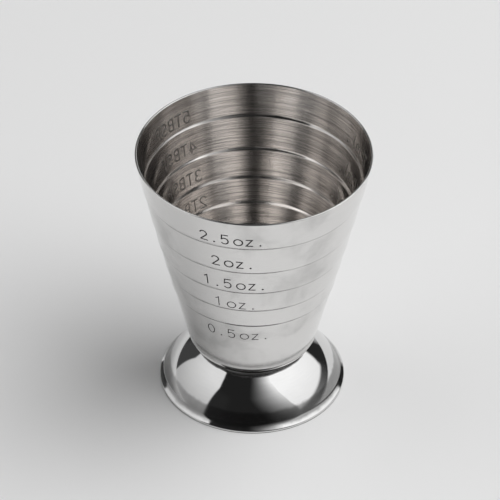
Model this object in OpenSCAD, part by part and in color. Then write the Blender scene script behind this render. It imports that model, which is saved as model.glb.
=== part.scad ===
// A footed measuring cup for a bar: a drawn steel cup with five stepped measuring bands,
// spot-welded onto a hollow spun foot.
// Millimetres, +Z up. The origin is on the table, under the axis of the cup.

/* [Cup] */
// Outer diameter of the rim
rim_d = 60; // [54:0.5:68]
// Thickness of the cup's sheet
cup_wall = 0.6; // [0.5:0.05:0.8]
// Lean of the measuring bands, in degrees from upright
band_lean = 10.8; // [8:0.2:13]
// Height of the top band, from the rim down to the 2.5 line
band_1_h = 9.3; // [7:0.1:12]
// Height of the second band, down to the 2 line
band_2_h = 9.2; // [7:0.1:12]
// Height of the third band, down to the 1.5 line
band_3_h = 7.9; // [6:0.1:10]
// Height of the fourth band, down to the 1 line
band_4_h = 7.1; // [5.5:0.1:9]
// Height of the fifth band, down to the 0.5 line
band_5_h = 6.2; // [5:0.1:8]
// Height of the plain bowl, from the 0.5 line down to the outside of the floor
bowl_h = 21.1; // [16:0.1:26]
// Diameter of the floor, where its plane meets the line of the bowl's wall
floor_d = 32; // [26:0.2:38]
// Outer radius between the floor and the bowl
floor_corner_r = 4.5; // [3:0.1:7]

/* [Measuring steps] */
// How far each step narrows the cup
step_w = 0.4; // [0.2:0.05:0.6]
// Height of the slanted ledge of each step
step_rise = 0.6; // [0.3:0.05:0.9]
// Outer radius above each ledge
step_shoulder_r = 1.6; // [0.9:0.1:2.2]
// Outer radius in the crease under each ledge
step_crease_r = 0.15; // [0.1:0.05:0.5]

/* [Foot] */
// Diameter of the edge that stands on the table
foot_d = 49; // [44:0.2:58]
// Height of the foot, from the table to the cup's floor
foot_h = 12.2; // [11:0.1:14]
// Thickness of the foot's sheet
foot_wall = 0.6; // [0.5:0.05:0.7]
// Diameter of the collar that the cup stands on
collar_d = 29.6; // [26:0.2:34]
// Outer radius over the collar's edge
collar_r = 0.35; // [0.25:0.05:0.6]
// How far the neck goes in under the collar
neck_inset = 0.6; // [0.4:0.05:0.9]
// Depth of the neck below the top of the collar
neck_drop = 0.9; // [0.8:0.1:1.3]
// Outer radius in the neck
neck_r = 0.2; // [0.1:0.05:0.4]
// Diameter at which the dome's upper and lower lines meet
dome_d = 40.8; // [38:0.2:42.6]
// Height at which the dome's upper and lower lines meet
dome_h = 6.95; // [6:0.05:7.8]
// Outer radius of the dome
dome_r = 22; // [12:0.5:22]
// How far inside the standing edge the dome turns into the brim
brim_w = 1.25; // [1:0.05:1.6]
// How far the brim falls towards the standing edge
brim_fall = 1; // [0.85:0.05:1.2]
// Outer radius between the dome and the brim
brim_r = 2.5; // [1:0.5:5]
// Height of the upright land at the standing edge
edge_h = 0.6; // [0.45:0.05:0.7]
// Outer radius between the brim and the land
edge_r = 0.5; // [0.35:0.05:0.7]

/* [Spot welds] */
// Number of weld nuggets
weld_count = 3; // [3:1:6]
// Diameter of a nugget
weld_d = 4; // [3:0.1:5]
// How deep a nugget reaches into each sheet
weld_depth = 0.35; // [0.2:0.05:0.4]
// Radius of the circle of nuggets, as a share of the flat part of the floor's radius
weld_circle_share = 0.6; // [0.5:0.05:0.7]

/* [Hidden] */
$fn = 96;

// A rounded corner has one facet for about this many degrees of turn
arc_step = 6;
// Corners that share a straight take at most this share of it
fit_share = 0.96;
// A turn smaller than this many degrees is left as it is
least_turn = 0.5;
// A convex corner keeps at least this share of the sheet's thickness as its inner radius
least_inner_share = 0.15;
// Facets of the half-round lip
lip_facets = 8;

band_h = [band_1_h, band_2_h, band_3_h, band_4_h, band_5_h];
step_count = len(band_h);
cup_top = foot_h + bowl_h + sum_to(band_h, step_count);

// Centre of the half-round lip, and the place where the outer wall runs into it
lip_centre = [rim_d / 2 - cup_wall / 2, cup_top - cup_wall / 2];
lip_start = lip_centre + cup_wall / 2 * [cos(band_lean), -sin(band_lean)];

// Radius of the flat part of the floor
bowl_top = crease(step_count);
bowl_angle = atan2(bowl_h, bowl_top[0] - floor_d / 2);
floor_flat_r = floor_d / 2 - floor_corner_r * tan(bowl_angle / 2);

// Sum of the first n numbers of a list
function sum_to(list, n) = n == 0 ? 0 : list[n - 1] + sum_to(list, n - 1);

// Direction of a vector, and the direction a quarter turn to its left
function unit(v) = v / norm(v);
function left(v) = [-v[1], v[0]];

// A vector turned by an angle
function turned(v, angle) =
    [v[0] * cos(angle) - v[1] * sin(angle), v[0] * sin(angle) + v[1] * cos(angle)];

// Place of corner i, kept inside the list. A corner is [x, y, radius].
function place(corners, i) =
    let (k = min(max(i, 0), len(corners) - 1))
    [corners[k][0], corners[k][1]];

// Directions into and out of corner i, the same at the two ends
function before(corners, i) = unit(place(corners, max(i, 1)) - place(corners, max(i, 1) - 1));
function after(corners, i) =
    let (k = min(i, len(corners) - 2))
    unit(place(corners, k + 1) - place(corners, k));

// Signed turn at corner i, positive to the left
function turn(corners, i) =
    let (a = before(corners, i), b = after(corners, i))
    atan2(cross(a, b), a * b);

// How far the rounding of corner i reaches along its straights when it has all the room it needs
function reach_wanted(corners, i) = corners[i][2] * tan(abs(turn(corners, i)) / 2);

// Share of its wanted reach that corner i can have, because of straight k beside it
function room(corners, k) =
    k < 0 || k > len(corners) - 2 ? 1 :
    let (
        wanted = reach_wanted(corners, k) + reach_wanted(corners, k + 1),
        straight = fit_share * norm(place(corners, k + 1) - place(corners, k))
    )
    wanted > straight ? straight / wanted : 1;

// Points of the arc that rounds corner i
function corner_arc(corners, i) =
    let (
        angle = turn(corners, i),
        reach = reach_wanted(corners, i) * min(room(corners, i - 1), room(corners, i)),
        start = place(corners, i) - reach * before(corners, i),
        centre = start + sign(angle) * reach / tan(abs(angle) / 2) * left(before(corners, i)),
        facets = max(2, ceil(abs(angle) / arc_step))
    )
    [for (k = [0 : facets]) centre + turned(start - centre, angle * k / facets)];

// Path through the corners, each rounded by its radius, with plain ends
function rounded_path(corners) = [
    for (i = [0 : len(corners) - 1])
        let (
            inner = i > 0 && i < len(corners) - 1,
            rounded = inner && corners[i][2] > 0 && abs(turn(corners, i)) > least_turn
        )
        each rounded ? corner_arc(corners, i) : [place(corners, i)]
];

// The corners moved by a distance to their left, with radii that keep the sheet evenly thick
function moved_corners(corners, distance) = [
    for (i = [0 : len(corners) - 1])
        let (
            a = left(before(corners, i)),
            b = left(after(corners, i)),
            moved = place(corners, i) + distance * (a + b) / (1 + a * b),
            radius = corners[i][2] - sign(turn(corners, i)) * distance
        )
        [moved[0], moved[1], max(radius, least_inner_share * abs(distance))]
];

// The same list from its end to its start
function reversed(list) = [for (i = [len(list) - 1 : -1 : 0]) list[i]];

// Crease under step i, counted from the rim, and the shoulder above its ledge
function crease(i) =
    let (drop = sum_to(band_h, i))
    [lip_start[0] - tan(band_lean) * (drop - i * step_rise) - i * step_w, cup_top - drop];
function shoulder(i) = crease(i) + [step_w, step_rise];

// Corners of the cup's outside, from the middle of the floor up to the lip
function cup_corners() = concat(
    [[0, foot_h, 0], [floor_d / 2, foot_h, floor_corner_r]],
    [
        for (i = [step_count : -1 : 1])
            each [concat(crease(i), step_crease_r), concat(shoulder(i), step_shoulder_r)]
    ],
    [concat(lip_start, 0)]
);

// Half-round lip, from the outside of the wall over to its inside
function lip_points() = [
    for (k = [1 : lip_facets - 1])
        lip_centre + turned(lip_start - lip_centre, 180 * k / lip_facets)
];

// Corners of the foot's outside, from the middle of the top plate down to the table
function foot_corners() = [
    [0, foot_h, 0],
    [collar_d / 2, foot_h, collar_r],
    [collar_d / 2 - neck_inset, foot_h - neck_drop, neck_r],
    [dome_d / 2, dome_h, dome_r],
    [foot_d / 2 - brim_w, edge_h + brim_fall, brim_r],
    [foot_d / 2, edge_h, edge_r],
    [foot_d / 2, 0, 0]
];

// Weld nuggets between the cup's floor and the foot's top plate
module nuggets() {
    for (k = [0 : weld_count - 1])
        rotate([0, 0, 360 * k / weld_count])
            translate([weld_circle_share * floor_flat_r, 0, foot_h - weld_depth])
                cylinder(d = weld_d, h = 2 * weld_depth);
}

module measuring_cup() {
    outside = rounded_path(cup_corners());
    inside = rounded_path(moved_corners(cup_corners(), cup_wall));
    color("silver")
        difference() {
            rotate_extrude() polygon(concat(outside, lip_points(), reversed(inside)));
            nuggets();
        }
}

module foot() {
    outside = rounded_path(foot_corners());
    inside = rounded_path(moved_corners(foot_corners(), -foot_wall));
    color("gainsboro")
        difference() {
            rotate_extrude() polygon(concat(outside, reversed(inside)));
            nuggets();
        }
}

module weld_nuggets() {
    color("darkgray") nuggets();
}

measuring_cup();
foot();
weld_nuggets();
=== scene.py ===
"""Footed bar measuring cup: a stepped steel cup, spot-welded onto a hollow spun foot.

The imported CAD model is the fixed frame. Both turned shells are built again from the same
outlines with finer rings, exact normals and a stamped filling scale, and get their steel finishes.
"""

import logging
import math
from collections.abc import Iterable, Sequence
from dataclasses import dataclass, field
from enum import IntEnum
from typing import ClassVar

import bpy
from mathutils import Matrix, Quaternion, Vector
from mathutils.geometry import delaunay_2d_cdt


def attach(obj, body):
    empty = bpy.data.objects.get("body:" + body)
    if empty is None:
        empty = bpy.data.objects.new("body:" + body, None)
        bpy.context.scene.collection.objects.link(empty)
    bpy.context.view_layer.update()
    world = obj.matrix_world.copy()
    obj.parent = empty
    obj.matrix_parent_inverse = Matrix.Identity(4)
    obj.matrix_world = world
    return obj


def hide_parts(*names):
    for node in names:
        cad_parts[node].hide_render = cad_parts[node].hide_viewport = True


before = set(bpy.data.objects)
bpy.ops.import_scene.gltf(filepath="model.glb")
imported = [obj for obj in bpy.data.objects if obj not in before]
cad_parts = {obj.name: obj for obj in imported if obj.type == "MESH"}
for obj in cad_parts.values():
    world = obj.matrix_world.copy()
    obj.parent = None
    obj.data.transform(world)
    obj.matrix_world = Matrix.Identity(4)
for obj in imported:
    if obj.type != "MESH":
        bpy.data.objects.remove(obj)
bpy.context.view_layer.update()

logging.basicConfig(level=logging.INFO, format="%(message)s")
log = logging.getLogger("measuring_cup")

Point = tuple[float, float]
Place = tuple[float, float, float]
Colour = tuple[float, float, float]
Stroke = tuple[list[Point], bool]

MM = 0.001
TINY = 1e-7
SHELL_MAP = "along_and_round"
WELD_CIRCLE = 0.0074


def link_new(name: str, data: bpy.types.ID) -> bpy.types.Object:
    """Makes an object of some data and links it to the scene."""
    made = bpy.data.objects.new(name, data)
    bpy.context.scene.collection.objects.link(made)
    return made


# ---- Turned outlines ----


# As in the CAD source: the share of a straight that its corners take at most, the turn that is
# left as it is, and the share of the sheet's thickness that an inner radius keeps
FIT_SHARE = 0.96
LEAST_TURN = math.radians(0.5)
LEAST_INNER_SHARE = 0.15
LEAST_FACETS = 3


@dataclass(frozen=True)
class Corner:
    """A corner of a turned outline: distance from the axis, height and rounding radius, in mm."""

    x: float
    y: float
    radius: float = 0.0


@dataclass(frozen=True)
class Station:
    """A point of a turned outline, in mm, and the direction that the surface faces there."""

    x: float
    y: float
    nx: float
    ny: float

    def towards(self, other: "Station", height: float) -> "Station":
        """The point at a height on the straight to another station, facing as this one does."""
        t = (height - self.y) / (other.y - self.y)
        return Station(self.x + t * (other.x - self.x), height, self.nx, self.ny)


def direction(a: Point, b: Point) -> Point:
    """Unit vector from a to b."""
    length = math.hypot(b[0] - a[0], b[1] - a[1])
    return ((b[0] - a[0]) / length, (b[1] - a[1]) / length)


def turn_between(before: Point, after: Point) -> float:
    """Signed angle in radians from one direction to the next, positive to the left."""
    return math.atan2(
        before[0] * after[1] - before[1] * after[0],
        before[0] * after[0] + before[1] * after[1],
    )


def directions(places: Sequence[Point]) -> list[Point]:
    """Unit vectors from each place to the next."""
    return [direction(p, q) for p, q in zip(places[:-1], places[1:])]


def offset_corners(corners: Sequence[Corner], distance: float) -> list[Corner]:
    """Moves an outline sideways, as the other face of a sheet of even thickness.

    Args:
        corners: the outline's corners, in order.
        distance: how far the outline moves to its left, in mm.

    Returns:
        The moved corners, with radii that keep the sheet evenly thick.
    """
    ways = directions([(c.x, c.y) for c in corners])
    least = LEAST_INNER_SHARE * abs(distance)
    moved = []
    for i, corner in enumerate(corners):
        a, b = ways[max(i, 1) - 1], ways[min(i, len(ways) - 1)]
        share = distance / (1 + a[0] * b[0] + a[1] * b[1])
        radius = corner.radius - math.copysign(distance, distance * turn_between(a, b))
        x = corner.x - share * (a[1] + b[1])
        y = corner.y + share * (a[0] + b[0])
        moved.append(Corner(x, y, max(radius, least)))
    return moved


def station_round(centre: Point, radius: float, angle: float) -> Station:
    """Station on a circle that faces along an angle. A negative radius lies behind the centre."""
    nx, ny = math.cos(angle), math.sin(angle)
    return Station(centre[0] + radius * nx, centre[1] + radius * ny, nx, ny)


def rounded_stations(corners: Sequence[Corner], step: float = math.radians(4)) -> list[Station]:
    """Rounds each corner of an outline and gives the exact facing of every point.

    Args:
        corners: the outline's corners, with the solid on the left of the way they run.
        step: turn of one facet of a rounding, in radians.

    Returns:
        The stations from the first corner to the last, each facing away from the solid.
    """
    places = [(c.x, c.y) for c in corners]
    ways = directions(places)
    spans = [math.dist(p, q) for p, q in zip(places[:-1], places[1:])]
    turns = [0.0] + [turn_between(p, q) for p, q in zip(ways[:-1], ways[1:])] + [0.0]
    wanted = [c.radius * math.tan(abs(t) / 2) for c, t in zip(corners, turns)]
    room = [
        min(1.0, FIT_SHARE * span / max(a + b, TINY))
        for span, a, b in zip(spans, wanted[:-1], wanted[1:])
    ]
    stations = [Station(*places[0], ways[0][1], -ways[0][0])]
    for i in range(1, len(corners) - 1):
        a, b, bend = ways[i - 1], ways[i], turns[i]
        if abs(bend) < LEAST_TURN:
            stations.append(Station(*places[i], a[1], -a[0]))
            continue
        reach = wanted[i] * min(room[i - 1], room[i])
        side = math.copysign(1, bend)
        radius = reach / math.tan(abs(bend) / 2)
        start = (places[i][0] - reach * a[0], places[i][1] - reach * a[1])
        centre = (start[0] - side * radius * a[1], start[1] + side * radius * a[0])
        facets = max(LEAST_FACETS, math.ceil(abs(bend) / step))
        for k in range(facets + 1):
            angle = math.atan2(-a[0], a[1]) + bend * k / facets
            stations.append(station_round(centre, side * radius, angle))
    stations.append(Station(*places[-1], ways[-1][1], -ways[-1][0]))
    return stations


def lengths_along(stations: Sequence[Station]) -> list[float]:
    """Distance in metres of each station from the first one, along the outline."""
    lengths = [0.0]
    for a, b in zip(stations[:-1], stations[1:]):
        lengths.append(lengths[-1] + math.hypot(b.x - a.x, b.y - a.y) * MM)
    return lengths


def length_at(stations: Sequence[Station], x: float, y: float) -> float:
    """Distance in metres along the outline of the station nearest to a place in mm."""
    away = [math.hypot(s.x - x, s.y - y) for s in stations]
    return lengths_along(stations)[away.index(min(away))]


# ---- Stroke lettering of the filling scale ----


def arc(
    cx: float, cy: float, rx: float, ry: float, start: float, end: float, n: int
) -> list[Point]:
    """Points of an elliptic arc in n steps, with its angles in degrees."""
    angles = [math.radians(start + (end - start) * k / n) for k in range(n + 1)]
    return [(cx + rx * math.cos(t), cy + ry * math.sin(t)) for t in angles]


# Middle lines of the glyphs' strokes, in mm from the middle of each glyph's foot
GLYPHS: dict[str, list[list[Point]]] = {
    "0": [arc(0, 1.6, 0.88, 1.6, 90, 450, 22)],
    "1": [[(-0.62, 2.66), (-0.2, 2.92), (0.12, 3.2), (0.12, 0.0)]],
    "2": [arc(0, 2.32, 0.88, 0.88, 165, -38, 11) + [(-0.92, 0.0), (0.98, 0.0)]],
    "3": [
        arc(-0.05, 2.42, 0.78, 0.78, 150, -90, 12)
        + arc(-0.05, 0.84, 0.92, 0.84, 80, -150, 12)
    ],
    "4": [[(0.42, 0.0), (0.42, 3.2), (-0.98, 0.9), (1.0, 0.9)]],
    "5": [
        [(0.85, 3.2), (-0.62, 3.2), (-0.76, 1.72)]
        + arc(0, 1.05, 0.93, 1.05, 132, -142, 14)
    ],
    "6": [arc(0.55, 1.35, 1.45, 1.85, 92, 180, 8) + arc(0, 1.0, 0.9, 1.0, 170, -190, 16)],
    "7": [[(-0.88, 3.2), (0.88, 3.2), (-0.25, 0.0)]],
    "B": [
        [(-0.75, 0.0), (-0.75, 3.2), (0.1, 3.2)] + arc(0.1, 2.45, 0.72, 0.75, 80, -90, 8)
        + [(-0.6, 1.7)],
        [(0.1, 1.7)] + arc(0.1, 0.85, 0.82, 0.85, 80, -90, 8) + [(-0.6, 0.0)],
    ],
    "P": [
        [(-0.72, 0.0), (-0.72, 3.2), (0.1, 3.2)] + arc(0.1, 2.4, 0.76, 0.8, 80, -90, 8)
        + [(-0.6, 1.6)]
    ],
    "S": [arc(0, 2.4, 0.82, 0.8, 35, 250, 10) + arc(0, 0.82, 0.88, 0.82, 72, -145, 10)],
    "T": [[(-0.95, 3.2), (0.95, 3.2)], [(0.0, 3.05), (0.0, 0.0)]],
    "l": [[(0.0, 3.2), (0.0, 0.0)]],
    "m": [
        [(-1.15, 2.2), (-1.15, 0.0)],
        [(-1.0, 1.3)] + arc(-0.58, 1.5, 0.55, 0.7, 150, 0, 7) + [(-0.03, 0.0)],
        [(0.12, 1.3)] + arc(0.55, 1.5, 0.55, 0.7, 150, 0, 7) + [(1.1, 0.0)],
    ],
    "o": [arc(0, 1.1, 1.08, 1.1, 90, 450, 22)],
    "z": [[(-0.72, 2.2), (0.72, 2.2), (-0.78, 0.0), (0.82, 0.0)]],
    ".": [arc(0, 0.13, 0.1, 0.1, 0, 360, 8)],
}
# Glyphs whose strokes close on themselves, and sizes in mm
CLOSED = "0o."
GLYPH_HEIGHT = 3.2
GLYPH_REACH = 2.2
GLYPH_PITCH = 2.75
WORD_GAP = 0.7
MITRE_LIMIT = 0.35
CAP_FACETS = 5


@dataclass(frozen=True)
class Label:
    """One marking of the scale, as a row of glyphs round the cup.

    Attributes:
        text: the glyphs, with a space where a unit follows its number.
        azimuth: where its middle lies, in degrees from the front towards +X.
        band: index of the outline's straight that it lies on, counted from the rim.
        base: height of the foot of its numbers above the band's lower crease, in mm.
        stroke: width of its strokes, in mm.
    """

    text: str
    azimuth: float
    band: int
    base: float
    stroke: float = 0.3

    def strokes(self) -> list[Stroke]:
        """Gives the middle lines of its strokes.

        Returns:
            Each stroke's points in mm, from the middle of the label's foot line, and whether it
            closes on itself.
        """
        centres, x = [], 0.0
        for k, glyph in enumerate(self.text):
            if glyph == " ":
                x += WORD_GAP
                continue
            centres.append((glyph, x))
            x += GLYPH_PITCH
        middle = (centres[0][1] + centres[-1][1]) / 2
        return [
            ([(px + at - middle, py) for px, py in stroke], glyph in CLOSED)
            for glyph, at in centres
            for stroke in GLYPHS[glyph]
        ]


@dataclass(frozen=True)
class StampSection:
    """Cross-section of a stroke: half width at the face, half width at its bed, and its height."""

    half: float
    bed: float
    height: float

    def lift(self, distance: float) -> float:
        """Height in mm at a distance from the stroke's middle line, negative where it is cut."""
        if distance >= self.half:
            return 0.0
        share = min(1.0, (self.half - distance) / (self.half - self.bed))
        return self.height * share * share * (3 - 2 * share)


def mitred(points: Sequence[Point], closed: bool, distance: float) -> list[Point]:
    """Moves a polyline sideways, with mitred corners.

    Args:
        points: its points; a closed one repeats its first point at the end.
        closed: whether it closes on itself.
        distance: how far it moves to its left, in mm.

    Returns:
        As many points as it was given.
    """
    ways = directions(points)
    moved = []
    for i, (x, y) in enumerate(points):
        a = ways[i - 1] if i > 0 else (ways[-1] if closed else ways[0])
        b = ways[i] if i < len(ways) else (ways[0] if closed else ways[-1])
        left_a, left_b = (-a[1], a[0]), (-b[1], b[0])
        share = distance / max(1 + left_a[0] * left_b[0] + left_a[1] * left_b[1], MITRE_LIMIT)
        moved.append((x + share * (left_a[0] + left_b[0]), y + share * (left_a[1] + left_b[1])))
    return moved


def segment_distance(p: Point, a: Point, b: Point) -> float:
    """Distance from p to the segment from a to b."""
    dx, dy = b[0] - a[0], b[1] - a[1]
    span = dx * dx + dy * dy
    along = (p[0] - a[0]) * dx + (p[1] - a[1]) * dy
    t = 0.0 if span == 0 else max(0.0, min(1.0, along / span))
    return math.hypot(p[0] - a[0] - t * dx, p[1] - a[1] - t * dy)


@dataclass
class StampPatch:
    """The piece of a turned wall that holds one label, cut into triangles round its strokes.

    Attributes:
        columns: positions of the wall's upright grid lines inside the patch, in mm from its middle.
        low: lower edge of the patch, in mm from the label's foot line.
        high: upper edge of the patch, in mm from the label's foot line.
        strokes: the label's strokes.
        section: cross-section of a stroke.
        points: the corners of the triangles.
        lifts: height in mm of each point above the wall.
        triangles: the triangles, each with its points in order.
        marked: whether each triangle lies in a stroke.
    """

    MERGED: ClassVar[float] = 1e-4
    LEAST_AREA: ClassVar[float] = 1e-9
    EDGE_SLACK: ClassVar[float] = 0.004

    columns: list[float]
    low: float
    high: float
    strokes: list[Stroke]
    section: StampSection
    points: list[Point] = field(default_factory=list)
    lifts: list[float] = field(default_factory=list)
    triangles: list[tuple[int, int, int]] = field(default_factory=list)
    marked: list[bool] = field(default_factory=list)

    def distance(self, p: Point) -> float:
        """Distance in mm from a point to the nearest middle line."""
        near = math.inf
        for points, _ in self.strokes:
            if min(abs(p[0] - x) for x, _ in points) > GLYPH_REACH:
                continue
            for a, b in zip(points[:-1], points[1:]):
                near = min(near, segment_distance(p, a, b))
        return near

    def cut(self) -> None:
        """Triangulates the patch round the edges and beds of the strokes."""
        verts: list[Point] = []
        edges: list[tuple[int, int]] = []

        def line(points: Iterable[Point]) -> None:
            """Adds a chain of edges through the points."""
            first = len(verts)
            verts.extend(points)
            edges.extend((k, k + 1) for k in range(first, len(verts) - 1))

        for x in self.columns:
            line([(x, self.low), (x, self.high)])
        line([(x, self.low) for x in self.columns])
        line([(x, self.high) for x in self.columns])
        for points, closed in self.strokes:
            for rail in (self.section.half, self.section.bed):
                left, right = mitred(points, closed, rail), mitred(points, closed, -rail)
                if closed:
                    line(left)
                    line(right)
                else:
                    far, near = self.cap(points, rail), self.cap(points[::-1], rail)
                    line(left + far + right[::-1] + near + left[:1])
            line(points)
        found = delaunay_2d_cdt([Vector(v) for v in verts], edges, [], 0, self.MERGED, False)
        self.points = [(v.x, v.y) for v in found[0]]
        distances = [self.distance(p) for p in self.points]
        half = self.section.half
        inside = half - self.EDGE_SLACK
        self.lifts = [self.section.lift(d) if d < inside else 0.0 for d in distances]
        for face in found[2]:
            a, b, c = (self.points[k] for k in face)
            area = (b[0] - a[0]) * (c[1] - a[1]) - (b[1] - a[1]) * (c[0] - a[0])
            if abs(area) < self.LEAST_AREA:
                continue
            self.triangles.append(tuple(face) if area > 0 else tuple(face[::-1]))
            centre = ((a[0] + b[0] + c[0]) / 3, (a[1] + b[1] + c[1]) / 3)
            self.marked.append(self.distance(centre) < half)

    @staticmethod
    def cap(points: Sequence[Point], rail: float) -> list[Point]:
        """Half circle from the left to the right of the last point of a stroke."""
        (x0, y0), (x, y) = points[-2], points[-1]
        start = math.atan2(y - y0, x - x0) + math.pi / 2
        turns = [start - math.pi * k / CAP_FACETS for k in range(1, CAP_FACETS)]
        return [(x + rail * math.cos(t), y + rail * math.sin(t)) for t in turns]


# ---- Turned shells ----


@dataclass(frozen=True)
class Stamp:
    """A label on one face of a turned wall.

    Attributes:
        label: what is marked.
        foot: height of the label's foot line, in mm.
        inside: whether it is on the inside of the wall.
        section: cross-section of its strokes.
        slot: index of the material of its strokes.
    """

    label: Label
    foot: float
    inside: bool
    section: StampSection
    slot: int

    def strip(self, stations: Sequence[Station]) -> int:
        """Index of the longest straight strip that holds its middle, on its face of the wall."""
        height = self.foot + GLYPH_HEIGHT / 2
        best, span = -1, 0.0
        for i, (a, b) in enumerate(zip(stations[:-1], stations[1:])):
            if min(a.y, b.y) < height < max(a.y, b.y) and (b.y < a.y) == self.inside:
                if abs(b.y - a.y) > span:
                    best, span = i, abs(b.y - a.y)
        return best


@dataclass
class TurnedShell:
    """A closed outline turned round the upright axis, with exact normals and marked labels.

    Attributes:
        stations: the outline, with the solid on the left of the way it runs.
        slots: index of the material of each strip between two stations.
        columns: number of facets round the axis.
        stamps: the labels that are worked into the wall.
        verts: places of the vertices, in metres.
        faces: vertex indices of each face.
        normals: what each face corner faces, or none for its face's own direction.
        uvs: turn round the axis and distance along the outline of each face corner.
        materials: material index of each face.
    """

    STAMP_MARGIN: ClassVar[float] = 0.2
    SNAP: ClassVar[float] = 1e-3

    stations: list[Station]
    slots: list[int]
    columns: int = 360
    stamps: list[Stamp] = field(default_factory=list)
    verts: list[Place] = field(default_factory=list)
    faces: list[tuple[int, ...]] = field(default_factory=list)
    normals: list[Place | None] = field(default_factory=list)
    uvs: list[Point] = field(default_factory=list)
    materials: list[int] = field(default_factory=list)

    @property
    def step(self) -> float:
        """Turn of one facet, in radians."""
        return 2 * math.pi / self.columns

    @staticmethod
    def turned(x: float, y: float, azimuth: float) -> Place:
        """Place in metres of an outline point, in mm, turned to an azimuth from the front."""
        return (x * math.sin(azimuth) * MM, -x * math.cos(azimuth) * MM, y * MM)

    @staticmethod
    def facing(s: Station, azimuth: float) -> Place:
        """Direction that the surface faces at a station turned to an azimuth."""
        return (s.nx * math.sin(azimuth), -s.nx * math.cos(azimuth), s.ny)

    def build(self, name: str) -> bpy.types.Object:
        """Makes the mesh object.

        Args:
            name: name of the object and its mesh.

        Returns:
            The new object, linked to the scene.
        """
        lengths = lengths_along(self.stations)
        rings = [self.ring(s) for s in self.stations]
        taken = self.cut_stamps(rings, lengths)
        for i, (a, b) in enumerate(zip(self.stations[:-1], self.stations[1:])):
            if math.hypot(b.x - a.x, b.y - a.y) < TINY:
                continue
            for j in range(self.columns):
                if (i, j) in taken:
                    continue
                k = (j + 1) % self.columns
                t0, t1 = j * self.step, (j + 1) * self.step
                loop = [
                    (rings[i][j], a, t0, lengths[i]),
                    (rings[i][k], a, t1, lengths[i]),
                    (rings[i + 1][k], b, t1, lengths[i + 1]),
                    (rings[i + 1][j], b, t0, lengths[i + 1]),
                ]
                if a.x < TINY:
                    loop.pop(0)
                elif b.x < TINY:
                    loop.pop(2)
                self.faces.append(tuple(v for v, _, _, _ in loop))
                self.normals.extend(self.facing(s, t) for _, s, t, _ in loop)
                self.uvs.extend((t / (2 * math.pi), length) for _, _, t, length in loop)
                self.materials.append(self.slots[i])
        return self.finish(name)

    def ring(self, s: Station) -> list[int]:
        """Adds the vertices of one station and gives their indices."""
        if s.x < TINY:
            self.verts.append(self.turned(0.0, s.y, 0.0))
            return [len(self.verts) - 1] * self.columns
        first = len(self.verts)
        self.verts.extend(self.turned(s.x, s.y, j * self.step) for j in range(self.columns))
        return list(range(first, first + self.columns))

    def cut_stamps(self, rings: list[list[int]], lengths: list[float]) -> set[tuple[int, int]]:
        """Works the labels into their strips.

        Args:
            rings: vertex indices of each station.
            lengths: distance along the outline of each station, in metres.

        Returns:
            The cells of the grid, as strip and column, that the labels' patches fill.
        """
        taken: set[tuple[int, int]] = set()
        for stamp in self.stamps:
            i = stamp.strip(self.stations)
            a, b = self.stations[i], self.stations[i + 1]
            lean = math.hypot(b.x - a.x, b.y - a.y) / abs(b.y - a.y)
            middle = math.radians(stamp.label.azimuth)
            radius = a.towards(b, stamp.foot + GLYPH_HEIGHT / 2).x
            strokes = stamp.label.strokes()
            widest = max(abs(x) for points, _ in strokes for x, _ in points)
            reach = widest + stamp.section.half + self.STAMP_MARGIN
            first = math.floor((middle - reach / radius) / self.step)
            last = math.ceil((middle + reach / radius) / self.step)
            columns = [(k * self.step - middle) * radius for k in range(first, last + 1)]
            edges = sorted((a.y, b.y))
            low, high = ((height - stamp.foot) * lean for height in edges)
            patch = StampPatch(columns, low, high, strokes, stamp.section)
            patch.cut()
            index = []
            for (x, y), lift in zip(patch.points, patch.lifts):
                azimuth = middle + x / radius
                at_column = (azimuth / self.step - first) % 1
                at_low, at_high = abs(y - low) < self.SNAP, abs(y - high) < self.SNAP
                if (at_low or at_high) and min(at_column, 1 - at_column) < self.SNAP:
                    height = edges[0] if at_low else edges[1]
                    ring = rings[i] if abs(height - a.y) < TINY else rings[i + 1]
                    index.append(ring[round(azimuth / self.step) % self.columns])
                else:
                    s = a.towards(b, stamp.foot + y / lean)
                    index.append(len(self.verts))
                    self.verts.append(self.turned(s.x + s.nx * lift, s.y + s.ny * lift, azimuth))
            upwards = b.y > a.y
            for face, marked in zip(patch.triangles, patch.marked):
                order = face if upwards else face[::-1]
                self.faces.append(tuple(index[k] for k in order))
                self.materials.append(stamp.slot if marked else self.slots[i])
                for k in order:
                    x, y = patch.points[k]
                    azimuth = middle + x / radius
                    t = (stamp.foot + y / lean - a.y) / (b.y - a.y)
                    along = lengths[i] + t * (lengths[i + 1] - lengths[i])
                    self.uvs.append((azimuth / (2 * math.pi) % 1, along))
                    self.normals.append(None if marked else self.facing(a, azimuth))
            taken.update((i, k % self.columns) for k in range(first, last))
        return taken

    def finish(self, name: str) -> bpy.types.Object:
        """Turns the gathered lists into an object with its normals, map and material indices."""
        mesh = bpy.data.meshes.new(name)
        mesh.from_pydata(self.verts, [], self.faces)
        layer = mesh.uv_layers.new(name=SHELL_MAP)
        layer.data.foreach_set("uv", [c for uv in self.uvs for c in uv])
        mesh.polygons.foreach_set("material_index", self.materials)
        mesh.polygons.foreach_set("use_smooth", [True] * len(self.faces))
        mesh.update()
        flat = [
            tuple(p.normal) if self.normals[k] is None else self.normals[k]
            for p in mesh.polygons
            for k in p.loop_indices
        ]
        mesh.normals_split_custom_set(flat)
        return link_new(name, mesh)


# ---- Node sheets and shared effects ----


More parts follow.
